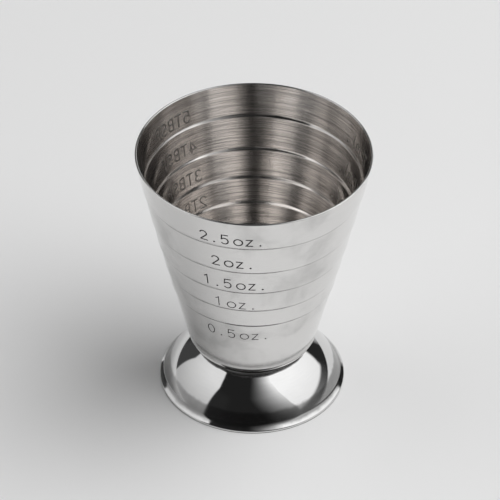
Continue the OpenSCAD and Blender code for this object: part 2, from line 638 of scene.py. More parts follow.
@dataclass(frozen=True)
class Signal:
    """A number, vector or colour that runs through a node sheet, with the sums on numbers."""

    sheet: "NodeSheet"
    socket: bpy.types.NodeSocket

    def __add__(self, other: "Value") -> "Signal":
        """This number plus another."""
        return self.sheet.math("ADD", self, other)

    def __radd__(self, other: float) -> "Signal":
        """A plain number plus this one."""
        return self.sheet.math("ADD", other, self)

    def __sub__(self, other: "Value") -> "Signal":
        """This number minus another."""
        return self.sheet.math("SUBTRACT", self, other)

    def __rsub__(self, other: float) -> "Signal":
        """A plain number minus this one."""
        return self.sheet.math("SUBTRACT", other, self)

    def __mul__(self, other: "Value") -> "Signal":
        """This number times another."""
        return self.sheet.math("MULTIPLY", self, other)

    def __truediv__(self, other: "Value") -> "Signal":
        """This number divided by another."""
        return self.sheet.math("DIVIDE", self, other)


Value = Signal | float


class NodeSheet:
    """Adds and joins shader nodes in one tree."""

    COLUMNS = 12
    SPACING = (220, -260)

    def __init__(self, tree: bpy.types.NodeTree) -> None:
        """Empties the tree and keeps it for the nodes to come."""
        self.tree = tree
        self.placed = 0
        tree.nodes.clear()

    def node(self, kind: str, **values: object) -> bpy.types.Node:
        """Adds a node and sets its plain properties."""
        made = self.tree.nodes.new(kind)
        row, column = divmod(self.placed, self.COLUMNS)
        made.location = (self.SPACING[0] * column, self.SPACING[1] * row)
        self.placed += 1
        for key, value in values.items():
            setattr(made, key, value)
        return made

    def join(self, socket: bpy.types.NodeSocket, value: object) -> None:
        """Links a socket to a signal, or sets its value."""
        if isinstance(value, Signal):
            self.tree.links.new(value.socket, socket)
        else:
            socket.default_value = value

    def fill(self, node: bpy.types.Node, values: dict[str, object]) -> None:
        """Joins a node's named inputs."""
        for key, value in values.items():
            self.join(node.inputs[key], value)

    def out(self, node: bpy.types.Node, key: str | int = 0) -> Signal:
        """One output of a node."""
        return Signal(self, node.outputs[key])

    def math(self, operation: str, a: Value, b: Value = 0.0, clamp: bool = False) -> Signal:
        """One sum on one or two numbers."""
        made = self.node("ShaderNodeMath", operation=operation, use_clamp=clamp)
        for socket, value in zip(made.inputs, (a, b)):
            self.join(socket, value)
        return self.out(made)

    def most(self, first: Value, *others: Value) -> Signal:
        """The greatest of some numbers."""
        for value in others:
            first = self.math("MAXIMUM", first, value)
        return first

    def vector(self, x: Value, y: Value, z: Value = 0.0) -> Signal:
        """A vector from its numbers."""
        made = self.node("ShaderNodeCombineXYZ")
        for socket, value in zip(made.inputs, (x, y, z)):
            self.join(socket, value)
        return self.out(made)

    def split(self, vector: Signal) -> tuple[Signal, ...]:
        """The three numbers of a vector."""
        made = self.node("ShaderNodeSeparateXYZ")
        self.join(made.inputs[0], vector)
        return tuple(self.out(made, k) for k in range(3))

    def moved(self, place: Signal, by: Signal) -> Signal:
        """A place moved by a vector."""
        made = self.node("ShaderNodeVectorMath", operation="ADD")
        self.join(made.inputs[0], place)
        self.join(made.inputs[1], by)
        return self.out(made)

    def length(self, x: Value, y: Value) -> Signal:
        """The length of a flat vector."""
        made = self.node("ShaderNodeVectorMath", operation="LENGTH")
        self.join(made.inputs[0], self.vector(x, y))
        return self.out(made, "Value")

    def ranged(self, kind: str, value: Value, *ends: Value) -> Signal:
        """A change of range, kept inside its ends: from low, from high, to low, to high."""
        made = self.node("ShaderNodeMapRange", interpolation_type=kind, clamp=True)
        keys = ("Value", "From Min", "From Max", "To Min", "To Max")
        self.fill(made, dict(zip(keys, (value, *ends))))
        return self.out(made, "Result")

    def smooth(
        self, value: Value, low: Value, high: Value, to_low: float = 0.0, to_high: float = 1.0
    ) -> Signal:
        """A smooth step from one level to another."""
        return self.ranged("SMOOTHSTEP", value, low, high, to_low, to_high)

    def noise(
        self, place: Signal, scale: Value, detail: float = 2.0, roughness: float = 0.5
    ) -> Signal:
        """Soft noise from 0 to 1."""
        made = self.node("ShaderNodeTexNoise", noise_dimensions="3D")
        self.fill(
            made, {"Vector": place, "Scale": scale, "Detail": detail, "Roughness": roughness}
        )
        return self.out(made)

    def mix(self, factor: Value, a: object, b: object, kind: str = "RGBA") -> Signal:
        """A colour or a number between two others."""
        made = self.node("ShaderNodeMix", data_type=kind)
        sockets = [s for s in made.inputs if s.enabled]
        for socket, value in zip(sockets, (factor, a, b)):
            self.join(socket, (*value, 1.0) if isinstance(value, tuple) else value)
        return Signal(self, next(s for s in made.outputs if s.enabled))

    def effect(self, group: bpy.types.NodeTree, **values: Value) -> dict[str, Signal]:
        """Places a shared effect, sets its named inputs and gives its outputs."""
        made = self.node("ShaderNodeGroup", node_tree=group)
        self.fill(made, values)
        return {s.name: Signal(self, s) for s in made.outputs}

    def object_place(self) -> Signal:
        """The place on the object, in metres."""
        return self.out(self.node("ShaderNodeTexCoord"), "Object")

    def shell_map(self) -> tuple[Signal, Signal]:
        """The turn round the axis, from 0 to 1, and the distance along the outline in metres."""
        turn, along, _ = self.split(self.out(self.node("ShaderNodeUVMap", uv_map=SHELL_MAP)))
        return turn, along


class EffectSheet(NodeSheet):
    """The sheet of a node group for an effect that several finishes share."""

    def __init__(self, name: str, outputs: Sequence[str], **inputs: float) -> None:
        """Starts the group.

        Args:
            name: name of the effect.
            outputs: names of its number outputs.
            inputs: its number inputs and their usual values.
        """
        super().__init__(bpy.data.node_groups.new(name, "ShaderNodeTree"))
        interface = self.tree.interface
        for key, value in inputs.items():
            made = interface.new_socket(key, in_out="INPUT", socket_type="NodeSocketFloat")
            made.default_value = value
        for key in outputs:
            interface.new_socket(key, in_out="OUTPUT", socket_type="NodeSocketFloat")
        entry = self.node("NodeGroupInput")
        self.given = {key: self.out(entry, key) for key in inputs}
        self.result = self.node("NodeGroupOutput")

    def give(self, **values: Signal) -> bpy.types.NodeTree:
        """Joins the outputs and gives the finished group."""
        self.fill(self.result, values)
        return self.tree


class Effects:
    """The surface effects that several finishes share, each built once."""

    def __init__(self) -> None:
        """Builds every shared effect."""
        self.turning_grain = self.make_turning_grain()
        self.handling = self.make_handling()
        self.hairlines = self.make_hairlines()
        self.weld_prints = self.make_weld_prints()
        self.painted_crease_shade = self.make_painted_crease_shade()

    @staticmethod
    def make_turning_grain() -> bpy.types.NodeTree:
        """Fine lines that run round the axis, left by an abrasive belt and by spinning.

        Returns:
            A group with the lines' height and a mask of their tone.
        """
        sheet = EffectSheet(
            "turning_grain", ("Height", "Tone"), Fineness=9000.0, Breaks=14.0, Rings=0.35
        )
        given = sheet.given
        turn, along = sheet.shell_map()
        angle = turn * (2 * math.pi)
        cos, sin = sheet.math("COSINE", angle), sheet.math("SINE", angle)

        def lines(breaks: float, fineness: float) -> Signal:
            """One layer of broken lines, as a share of the group's two scales."""
            spread, pitch = given["Breaks"] * breaks, given["Fineness"] * fineness
            place = sheet.vector(cos * spread, sin * spread, along * pitch)
            return sheet.noise(place, scale=1.0, detail=2.0, roughness=0.6)

        def rings(seed: Point, pitch: float, detail: float, roughness: float) -> Signal:
            """One layer of lines that run all the way round, on both sides of zero."""
            place = sheet.vector(*seed, along * pitch)
            level = sheet.noise(place, scale=1.0, detail=detail, roughness=roughness)
            return (level - 0.5) * given["Rings"]

        fine, broad = lines(breaks=1.0, fineness=1.0), lines(breaks=0.6, fineness=0.4)
        wide = rings(seed=(0.3, 0.7), pitch=1500.0, detail=2.0, roughness=0.55)
        thin = rings(seed=(0.7, 0.2), pitch=3400.0, detail=1.0, roughness=0.5)
        height = fine * 0.6 + broad * 0.4 + wide
        tone = fine * 0.4 + broad * 0.6 + thin * 0.7
        return sheet.give(Height=height, Tone=sheet.smooth(tone, low=0.38, high=0.62))

    @staticmethod
    def make_handling() -> bpy.types.NodeTree:
        """Faint smears and finger marks of handled steel.

        Returns:
            A group with a mask of the film, and the slow waviness of drawn sheet.
        """
        sheet = EffectSheet("handling", ("Film", "Waves"), Scale=60.0, Cover=0.5)
        place, scale = sheet.object_place(), sheet.given["Scale"]
        smear = sheet.noise(place, scale=scale * 1.7) * 0.012
        smeared = sheet.moved(place, sheet.vector(0.0, 0.0, smear))
        cloud = sheet.noise(smeared, scale=scale, detail=4.0, roughness=0.62)
        bare, softness = 0.78 - sheet.given["Cover"] * 0.45, 0.24
        film = sheet.smooth(cloud, low=bare, high=bare + softness)
        return sheet.give(Film=film, Waves=sheet.noise(place, scale=110.0, detail=1.0))

    @staticmethod
    def make_hairlines() -> bpy.types.NodeTree:
        """Sparse thin scratches from stacking and washing.

        Returns:
            A group with a mask of the scratches.
        """
        sheet = EffectSheet("hairlines", ("Mask",), Amount=0.3)
        place = sheet.object_place()
        unscratched = 0.72 - sheet.given["Amount"] * 0.3
        stretch = (2600.0, 60.0, 60.0)
        layers = (((0.3, 0.2, 0.5), 90.0), ((1.2, -0.5, 2.1), 125.0), ((-0.7, 0.9, 1.2), 160.0))
        masks = []
        for turn, patch_scale in layers:
            mapped = sheet.node("ShaderNodeMapping")
            sheet.fill(mapped, {"Vector": place, "Rotation": turn, "Scale": stretch})
            line = sheet.noise(sheet.out(mapped), scale=1.0, detail=1.0)
            patch = sheet.noise(place, scale=patch_scale, detail=1.0)
            here = sheet.smooth(patch, low=unscratched, high=0.8)
            masks.append(sheet.smooth(line, low=0.72, high=0.78) * here)
        return sheet.give(Mask=sheet.most(*masks))

    @staticmethod
    def make_weld_prints() -> bpy.types.NodeTree:
        """Shallow round prints of the welding electrodes, with the tint of their heat.

        Returns:
            A group with the prints' depth and a mask of the tint.
        """
        sheet = EffectSheet(
            "weld_prints", ("Depth", "Tint"), Circle=WELD_CIRCLE, Radius=0.0021, Count=3.0
        )
        given = sheet.given
        x, y, _ = sheet.split(sheet.object_place())
        half_sector = sheet.math("DIVIDE", 2 * math.pi, given["Count"]) * 0.5
        folded = sheet.math("PINGPONG", sheet.math("ARCTAN2", y, x), half_sector)
        radius = sheet.length(x, y)
        across = radius * sheet.math("COSINE", folded) - given["Circle"]
        share = sheet.length(across, radius * sheet.math("SINE", folded)) / given["Radius"]
        tint = sheet.smooth(share, low=0.7, high=1.05) * sheet.smooth(share, low=1.9, high=1.15)
        return sheet.give(Depth=sheet.smooth(share, low=1.0, high=0.75), Tint=tint)

    @staticmethod
    def make_painted_crease_shade() -> bpy.types.NodeTree:
        """Painted shade: a dark band along part of a shell's outline, where shade falls in creases,
        under parts and at the edge on the table.

        Returns:
            A group with a mask of the painted shade.
        """
        sheet = EffectSheet(
            "painted_crease_shade", ("Mask",), Start=0.0, End=0.001, Fade=0.0001, Amount=0.8
        )
        start, end, fade, amount = sheet.given.values()
        place = sheet.object_place()
        _, along = sheet.shell_map()
        along = along + (sheet.noise(place, scale=420.0, detail=3.0) - 0.5) * fade
        inside = sheet.smooth(along, start - fade, start) * sheet.smooth(along, end + fade, end)
        patchy = sheet.smooth(sheet.noise(place, scale=150.0), low=0.2, high=0.6, to_low=0.7)
        return sheet.give(Mask=inside * patchy * amount)


# ---- Finishes ----


def new_surface(name: str) -> tuple[bpy.types.Material, NodeSheet, bpy.types.Node]:
    """Starts a material with one principled shader.

    Args:
        name: name of the material.

    Returns:
        The material, its sheet and its shader.
    """
    material = bpy.data.materials.new(name)
    material.use_nodes = True
    sheet = NodeSheet(material.node_tree)
    shader = sheet.node("ShaderNodeBsdfPrincipled")
    sheet.fill(sheet.node("ShaderNodeOutputMaterial"), {"Surface": sheet.out(shader)})
    return material, sheet, shader


@dataclass(frozen=True)
class PaintedShade:
    """Painted shade: a dark band round a shell along part of its outline, where shade falls.

    Attributes:
        start: where it starts along the outline, in metres.
        end: where it ends along the outline, in metres.
        fade: how softly it ends, in metres.
        amount: how much it darkens the steel, from 0 to 1.
    """

    start: float
    end: float
    fade: float
    amount: float

    @classmethod
    def near(
        cls, place: float, before: float, after: float, fade: float, amount: float
    ) -> "PaintedShade":
        """Painted shade round a place along the outline, in metres, with its reach and fade in mm.
        """
        return cls(place - before * MM, place + after * MM, fade * MM, amount)


@dataclass(frozen=True)
class SteelFinish:
    """How one face of the steel was worked.

    Attributes:
        name: name of the material.
        colour: colour of the bare metal.
        roughness: roughness of the bare metal.
        film_roughness: what a smear adds to the roughness.
        anisotropy: how far the grain stretches reflections across itself.
        grain_depth: depth of the turning lines, in metres.
        fineness: turning lines for each metre along the outline.
        breaks: how often the lines break up round the cup.
        rings: share of rings that run all the way round.
        grain_tone: how much darker the lines are.
        wave_depth: depth of the sheet's slow waviness, in metres.
        scratch: amount of thin scratches.
        cover: share of the face that smears cover.
        film_tone: how much the smears dull the colour.
        bare: share of the face that is clean metal, where the rest is a thin pale haze.
        weld_circle: radius of the circle of weld prints in metres, or none.
    """

    GRAIN_TURN: ClassVar[float] = 0.25
    FILM_SHADE: ClassVar[float] = 0.6
    MARK_ROUGHNESS: ClassVar[float] = 0.12
    SCRATCH_DEPTH: ClassVar[float] = 1.2e-6
    PRINT_DEPTH: ClassVar[float] = 60e-6
    HEAT_SHARE: ClassVar[float] = 0.55
    HEAT_TINT: ClassVar[Colour] = (0.42, 0.33, 0.24)
    # Colour of the painted shade in creases, under parts and at edges on the table
    PAINTED_SHADE_COLOUR: ClassVar[Colour] = (0.03, 0.028, 0.026)

    name: str
    colour: Colour
    roughness: float
    film_roughness: float = 0.05
    anisotropy: float = 0.0
    grain_depth: float = 0.0
    fineness: float = 9000.0
    breaks: float = 14.0
    rings: float = 0.35
    grain_tone: float = 0.0
    wave_depth: float = 0.0
    scratch: float = 0.2
    cover: float = 0.4
    film_tone: float = 0.08
    bare: float = 1.0
    weld_circle: float | None = None

    def shaded(self, share: float) -> Colour:
        """The bare metal's colour, darkened to a share of itself."""
        return tuple(c * share for c in self.colour)

    def build(self, effects: Effects, painted_shades: Sequence[PaintedShade] = ()) -> bpy.types.Material:
        """Makes the material.

        Args:
            effects: the shared surface effects.
            painted_shades: bands of painted shade, in creases, under parts and at edges on the
                table.

        Returns:
            The new material.
        """
        material, sheet, steel = new_surface(self.name)
        grain = sheet.effect(
            effects.turning_grain, Fineness=self.fineness, Breaks=self.breaks, Rings=self.rings
        )
        handling = sheet.effect(effects.handling, Cover=self.cover)
        scratches = sheet.effect(effects.hairlines, Amount=self.scratch)["Mask"]
        film = handling["Film"]
        colour = sheet.mix(grain["Tone"], self.shaded(1 - self.grain_tone), self.colour)
        colour = sheet.mix(film * self.film_tone, colour, self.shaded(self.FILM_SHADE))
        rough = self.roughness + film * self.film_roughness + scratches * self.MARK_ROUGHNESS
        height = grain["Height"] * self.grain_depth + handling["Waves"] * self.wave_depth
        height = height - scratches * self.SCRATCH_DEPTH
        if self.weld_circle is not None:
            prints = sheet.effect(effects.weld_prints, Circle=self.weld_circle)
            height = height - prints["Depth"] * self.PRINT_DEPTH
            colour = sheet.mix(prints["Tint"] * self.HEAT_SHARE, colour, self.HEAT_TINT)
            rough = rough + prints["Depth"] * self.MARK_ROUGHNESS
        # Painted shade: darkens and dulls the steel where shade falls, in creases, under parts and
        # at edges
        for crease in painted_shades:
            painted_shade_mask = sheet.effect(
                effects.painted_crease_shade,
                Start=crease.start, End=crease.end, Fade=crease.fade, Amount=crease.amount,
            )["Mask"]
            colour = sheet.mix(painted_shade_mask, colour, self.PAINTED_SHADE_COLOUR)
            rough = rough + painted_shade_mask * self.MARK_ROUGHNESS
        bump = sheet.node("ShaderNodeBump")
        sheet.fill(bump, {"Strength": 1.0, "Distance": 1.0, "Height": height})
        sheet.fill(steel, {
            "Metallic": self.bare,
            "Anisotropic": self.anisotropy,
            "Anisotropic Rotation": self.GRAIN_TURN,
            "Base Color": colour,
            "Roughness": rough,
            "Normal": sheet.out(bump),
        })
        return material


@dataclass(frozen=True)
class OxideFinish:
    """Dark oxide in the strokes of the scale.

    Attributes:
        name: name of the material.
        colour: colour of the oxide.
        worn: colour where it has rubbed away.
        roughness: roughness of the oxide.
        metallic: how much of the metal shows through it.
        wear_scale: fineness of its wear.
        wear_cover: share of it that is worn.
        wear_polish: how much smoother it is where it is worn.
    """

    name: str
    colour: Colour
    worn: Colour
    roughness: float = 0.5
    metallic: float = 0.6
    wear_scale: float = 260.0
    wear_cover: float = 0.5
    wear_polish: float = 0.12

    def build(self, effects: Effects) -> bpy.types.Material:
        """Makes the material, with the shared handling effect as its wear."""
        material, sheet, oxide = new_surface(self.name)
        wear = sheet.effect(effects.handling, Scale=self.wear_scale, Cover=self.wear_cover)["Film"]
        sheet.fill(oxide, {
            "Metallic": self.metallic,
            "Base Color": sheet.mix(wear, self.colour, self.worn),
            "Roughness": self.roughness - wear * self.wear_polish,
        })
        return material


CUP_OUTSIDE = SteelFinish(
    "cup_polished_outside", (0.805, 0.797, 0.787), 0.08, film_roughness=0.09, anisotropy=0.2,
    grain_depth=1.0e-6, fineness=5000.0, grain_tone=0.03, wave_depth=6e-6, scratch=0.5,
    cover=0.7, film_tone=0.6, bare=0.92,
)
CUP_INSIDE = SteelFinish(
    "cup_brushed_inside", (0.985, 0.955, 0.93), 0.16, film_roughness=0.02, anisotropy=0.85,
    grain_depth=6e-6, fineness=6500.0, breaks=4.0, rings=0.9, grain_tone=0.34, cover=0.3,
    weld_circle=WELD_CIRCLE,
)
FOOT_OUTSIDE = SteelFinish(
    "foot_mirror_outside", (0.77, 0.768, 0.766), 0.05, film_roughness=0.04, anisotropy=0.3,
    grain_depth=0.5e-6, fineness=5000.0, breaks=6.0, grain_tone=0.02, scratch=0.6, cover=0.5,
    film_tone=0.12,
)
FOOT_INSIDE = SteelFinish(
    "foot_satin_inside", (0.68, 0.665, 0.65), 0.3, film_roughness=0.08, anisotropy=0.6,
    grain_depth=8e-6, fineness=5000.0, rings=0.8, grain_tone=0.14, cover=0.6,
    weld_circle=WELD_CIRCLE,
)
WELD_METAL = SteelFinish(
    "weld_fused_metal", (0.5, 0.49, 0.48), 0.45, grain_depth=4e-6, fineness=3000.0,
    grain_tone=0.2, cover=0.8,
)
SCALE_OXIDE = OxideFinish("scale_oxide", (0.03, 0.029, 0.028), (0.11, 0.105, 0.1))
# The raised strokes inside: the inside steel painted darker, as painted shade on the relief
PAINTED_SHADE_RELIEF_STEEL = SteelFinish(
    "scale_relief_inside_painted_shade", (0.5, 0.48, 0.46), 0.3, anisotropy=0.3, grain_depth=5e-6,
    grain_tone=0.3,
)


# ---- The cup ----


class CupFace(IntEnum):
    """What a part of the cup's surface is, in the order of its materials."""

    OUTSIDE = 0
    INSIDE = 1
    CUT_SCALE = 2
    RAISED_SCALE = 3


@dataclass
class MeasuringCup:
    """The drawn cup with its stepped bands and its filling scale, in mm as in the CAD source.

    lip_ease is how far the lip stays inside the CAD model's box. The fields after it are the
    scale's: where the middle of the front scale lies and how far the scales are apart, in degrees;
    the height of each label above its line, and how far the last label is below its line; the
    strokes' widths, the depth of the cut, the height of the relief inside, how much higher and
    wider than the cut it shows, the shares of the strokes' width that their beds take, the room
    that a row of labels keeps above and below, and the least height of a strip beside a row.
    """

    rim_d: float = 60.0
    wall: float = 0.6
    lean: float = math.radians(10.8)
    band_heights: tuple[float, ...] = (9.3, 9.2, 7.9, 7.1, 6.2)
    bowl_h: float = 21.1
    floor_d: float = 32.0
    floor_corner_r: float = 4.5
    floor_z: float = 12.2
    step_w: float = 0.4
    step_rise: float = 0.6
    shoulder_r: float = 1.6
    crease_r: float = 0.15
    lip_facets: int = 12
    lip_ease: float = 0.006
    scale_middle: float = -10.85
    scales_apart: float = 120.0
    bases: tuple[float, ...] = (1.65, 2.2, 1.75, 1.15)
    below_last: float = 5.35
    strokes: tuple[float, ...] = (0.36, 0.36, 0.33, 0.27, 0.25)
    cut_depth: float = 0.1
    relief_height: float = 0.05
    relief_rise: float = 0.45
    relief_spread: float = 0.06
    cut_bed: float = 0.27
    relief_bed: float = 0.2
    row_margin: float = 0.42
    least_strip: float = 0.05

    @property
    def top(self) -> float:
        """Height of the rim."""
        return self.floor_z + self.bowl_h + sum(self.band_heights)

    def lip(self) -> tuple[Point, Point]:
        """Middle of the half-round lip, and where the outer wall runs into it."""
        centre = (self.rim_d / 2 - self.wall / 2, self.top - self.wall / 2)
        start = (
            centre[0] + self.wall / 2 * math.cos(self.lean),
            centre[1] - self.wall / 2 * math.sin(self.lean),
        )
        return centre, start

    def crease(self, i: int) -> Point:
        """Crease under step i, counted from the rim."""
        drop = sum(self.band_heights[:i])
        x = self.lip()[1][0] - math.tan(self.lean) * (drop - i * self.step_rise) - i * self.step_w
        return (x, self.top - drop)

    def corners(self) -> list[Corner]:
        """Corners of the outside, from the middle of the floor up to the lip."""
        edge = Corner(self.floor_d / 2, self.floor_z, self.floor_corner_r)
        made = [Corner(0, self.floor_z), edge]
        for i in range(len(self.band_heights), 0, -1):
            x, y = self.crease(i)
            made.append(Corner(x, y, self.crease_r))
            made.append(Corner(x + self.step_w, y + self.step_rise, self.shoulder_r))
        made.append(Corner(*self.lip()[1]))
        return made

    def outline(self) -> tuple[list[Station], int]:
        """Gives the whole outline.

        Returns:
            The stations up the outside, over the lip and down the inside, and the index of the
            first station of the brushed inside.
        """
        outside = rounded_stations(self.corners())
        inside = rounded_stations(offset_corners(self.corners(), self.wall)[::-1])
        centre = self.lip()[0]
        radius = self.wall / 2 - self.lip_ease
        lip = [
            station_round(centre, radius, -self.lean + math.pi * k / self.lip_facets)
            for k in range(1, self.lip_facets)
        ]
        return outside + lip + inside, len(outside) + len(lip)

    def labels(self) -> list[Label]:
        """The three scales: ounces in front, millilitres to the right, spoons to the left."""
        made = []
        texts = {
            0.0: ("2.5 oz.", "2 oz.", "1.5 oz.", "1 oz.", "0.5 oz."),
            1.0: ("75 ml.", "60 ml.", "45 ml.", "30 ml.", "15 ml."),
            -1.0: ("5TBSP", "4TBSP", "3TBSP", "2TBSP", "1TBSP"),
        }
        bases = (*self.bases, -self.below_last)
        for side, row in texts.items():
            azimuth = self.scale_middle + side * self.scales_apart
            for band, text in enumerate(row):
                made.append(Label(text, azimuth, band, bases[band], self.strokes[band]))
        return made

    def stamps(self) -> list[Stamp]:
        """Each label as it is cut outside and as it stands out inside."""
        made = []
        for label in self.labels():
            foot = self.crease(min(label.band + 1, len(self.band_heights)))[1] + label.base
            half, bed = label.stroke / 2, label.stroke * self.cut_bed
            cut = StampSection(half, bed, -self.cut_depth)
            made.append(Stamp(label, foot, False, cut, CupFace.CUT_SCALE))
            half, bed = half + self.relief_spread, label.stroke * self.relief_bed
            relief = StampSection(half, bed, self.relief_height)
            foot += self.relief_rise
            made.append(Stamp(label, foot, True, relief, CupFace.RAISED_SCALE))
        return made


    def build(self) -> bpy.types.Object:
        """Builds the cup with its scale cut outside and its relief standing inside.

        Returns:
            The cup's object, riding on the frame in place of the CAD node.
        """
        stamps = self.stamps()
        stations, first_inside = self.with_text_rows(*self.outline(), stamps)
        slots = [CupFace.OUTSIDE] * first_inside
        slots += [CupFace.INSIDE] * (len(stations) - 1 - first_inside)
        cup = TurnedShell(stations, slots, stamps=stamps).build("cup_shell")
        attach(cup, "root")
        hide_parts("measuring_cup")
        return cup

    def with_text_rows(
        self, stations: list[Station], first_inside: int, stamps: list[Stamp]
    ) -> tuple[list[Station], int]:
        """Adds a station above and below each row of labels, so that each row has its own strip.

        Args:
            stations: the outline.
            first_inside: index of the first station of the inside.
            stamps: the labels on both faces of the wall.

        Returns:
            The longer outline, and the new index of the first station of the inside.
        """
        rows = {stamp.strip(stations): stamp.foot for stamp in stamps}
        made, count = [], first_inside
        for i, s in enumerate(stations):
            made.append(s)
            if i not in rows:
                continue
            b = stations[i + 1]
            low, high = sorted((s.y, b.y))
            wanted = (rows[i] - self.row_margin, rows[i] + GLYPH_HEIGHT + self.row_margin)
            kept = [y for y in wanted if low + self.least_strip < y < high - self.least_strip]
            made.extend(s.towards(b, y) for y in sorted(kept, reverse=b.y < s.y))
            count += len(kept) if i < first_inside else 0
        return made, count

    def painted_shades(self) -> list[PaintedShade]:
        """Painted shade under the floor and its edge, and in the five creases of the outside."""
        outside = rounded_stations(self.corners())
        seat = length_at(outside, self.floor_d / 2 - self.floor_corner_r, self.floor_z)
        made = [PaintedShade.near(seat, before=30.0, after=1.8, fade=1.2, amount=0.9)]
        for i in range(1, len(self.band_heights) + 1):
            crease = length_at(outside, *self.crease(i))
            made.append(PaintedShade.near(crease, before=0.03, after=0.03, fade=0.09, amount=0.75))
        return made

    def dress(self, cup: bpy.types.Object, effects: Effects) -> None:
        """Gives the cup its finishes, in the order of its material indices."""
        cup.data.materials.append(CUP_OUTSIDE.build(effects, self.painted_shades()))
        for finish in (CUP_INSIDE, SCALE_OXIDE, PAINTED_SHADE_RELIEF_STEEL):
            cup.data.materials.append(finish.build(effects))


# ---- The foot and the welds ----


@dataclass
class Foot:
    """The hollow spun foot, in mm as in the CAD source."""

    foot_d: float = 49.0
    foot_h: float = 12.2
    wall: float = 0.6
    collar_d: float = 29.6
    collar_r: float = 0.35
    neck_inset: float = 0.6
    neck_drop: float = 0.9
    neck_r: float = 0.2
    dome_d: float = 40.8
    dome_h: float = 6.95
    dome_r: float = 22.0
    brim_w: float = 1.25
    brim_fall: float = 1.0
    brim_r: float = 2.5
    edge_h: float = 0.6
    edge_r: float = 0.5
    inside_step: float = math.radians(6)
    outside_step: float = math.radians(2.5)

    def corners(self) -> list[Corner]:
        """Corners of the outside, from the middle of the top plate down to the table."""
        return [
            Corner(0, self.foot_h),
            Corner(self.collar_d / 2, self.foot_h, self.collar_r),
            Corner(self.collar_d / 2 - self.neck_inset, self.foot_h - self.neck_drop, self.neck_r),
            Corner(self.dome_d / 2, self.dome_h, self.dome_r),
            Corner(self.foot_d / 2 - self.brim_w, self.edge_h + self.brim_fall, self.brim_r),
            Corner(self.foot_d / 2, self.edge_h, self.edge_r),
            Corner(self.foot_d / 2, 0),
        ]

    def outline(self) -> tuple[list[Station], int]:
        """Gives the whole outline.

        Returns:
            The stations down the inside, over the standing edge and up the outside, and the index
            of the first station of the outside.
        """
        corners = self.corners()
        inside = rounded_stations(offset_corners(corners, -self.wall), self.inside_step)
        outside = rounded_stations(corners[::-1], self.outside_step)
        land = [Station(inside[-1].x, 0, 0, -1), Station(outside[0].x, 0, 0, -1)]
        return inside + land + outside, len(inside) + 1

    def painted_shades(self) -> list[PaintedShade]:
        """Painted shade in the corner above the brim, and round the neck and over the top under the
        cup, and a painted contact shadow at the cut edge on the table.
        """
        stations, first = self.outline()
        start = lengths_along(stations)[first + 1]
        outside = stations[first + 1:]
        _, _, neck_corner, _, brim_corner, _, _ = self.corners()
        neck = start + length_at(outside, neck_corner.x, neck_corner.y)
        brim = start + length_at(outside, brim_corner.x, brim_corner.y)
        return [
            PaintedShade.near(brim, before=0.1, after=2.7, fade=1.1, amount=0.58),
            PaintedShade.near(neck, before=0.1, after=40.0, fade=0.5, amount=0.9),
            PaintedShade.near(start, before=1.0, after=0.12, fade=0.12, amount=0.85),
        ]

    def build(self) -> bpy.types.Object:
        """Builds the foot, riding on the frame in place of the CAD node."""
        stations, first = self.outline()
        slots = [1 if i < first else 0 for i in range(len(stations) - 1)]
        foot = TurnedShell(stations, slots).build("foot_shell")
        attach(foot, "root")
        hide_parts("foot")
        return foot

    def dress(self, foot: bpy.types.Object, effects: Effects) -> None:
        """Gives the foot its mirror outside and its satin inside."""
        foot.data.materials.append(FOOT_OUTSIDE.build(effects, self.painted_shades()))
        foot.data.materials.append(FOOT_INSIDE.build(effects))


@dataclass
class Welds:
    """The weld nuggets between cup and foot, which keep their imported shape."""

    node: str = "weld_nuggets"

    def build(self) -> bpy.types.Object:
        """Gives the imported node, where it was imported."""
        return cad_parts[self.node]

    def dress(self, nuggets: bpy.types.Object, effects: Effects) -> None:
        """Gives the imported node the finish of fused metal."""
        finish = WELD_METAL.build(effects)
        if nuggets.material_slots:
            for place in nuggets.material_slots:
                place.material = finish
        else:
            nuggets.data.materials.append(finish)


# ---- Studio ----


def way_to(azimuth: float, elevation: float) -> Vector:
    """Direction at an angle from the front towards +X and above the horizon, in radians."""
    flat = math.cos(elevation)
    return Vector((math.sin(azimuth) * flat, -math.cos(azimuth) * flat, math.sin(elevation)))


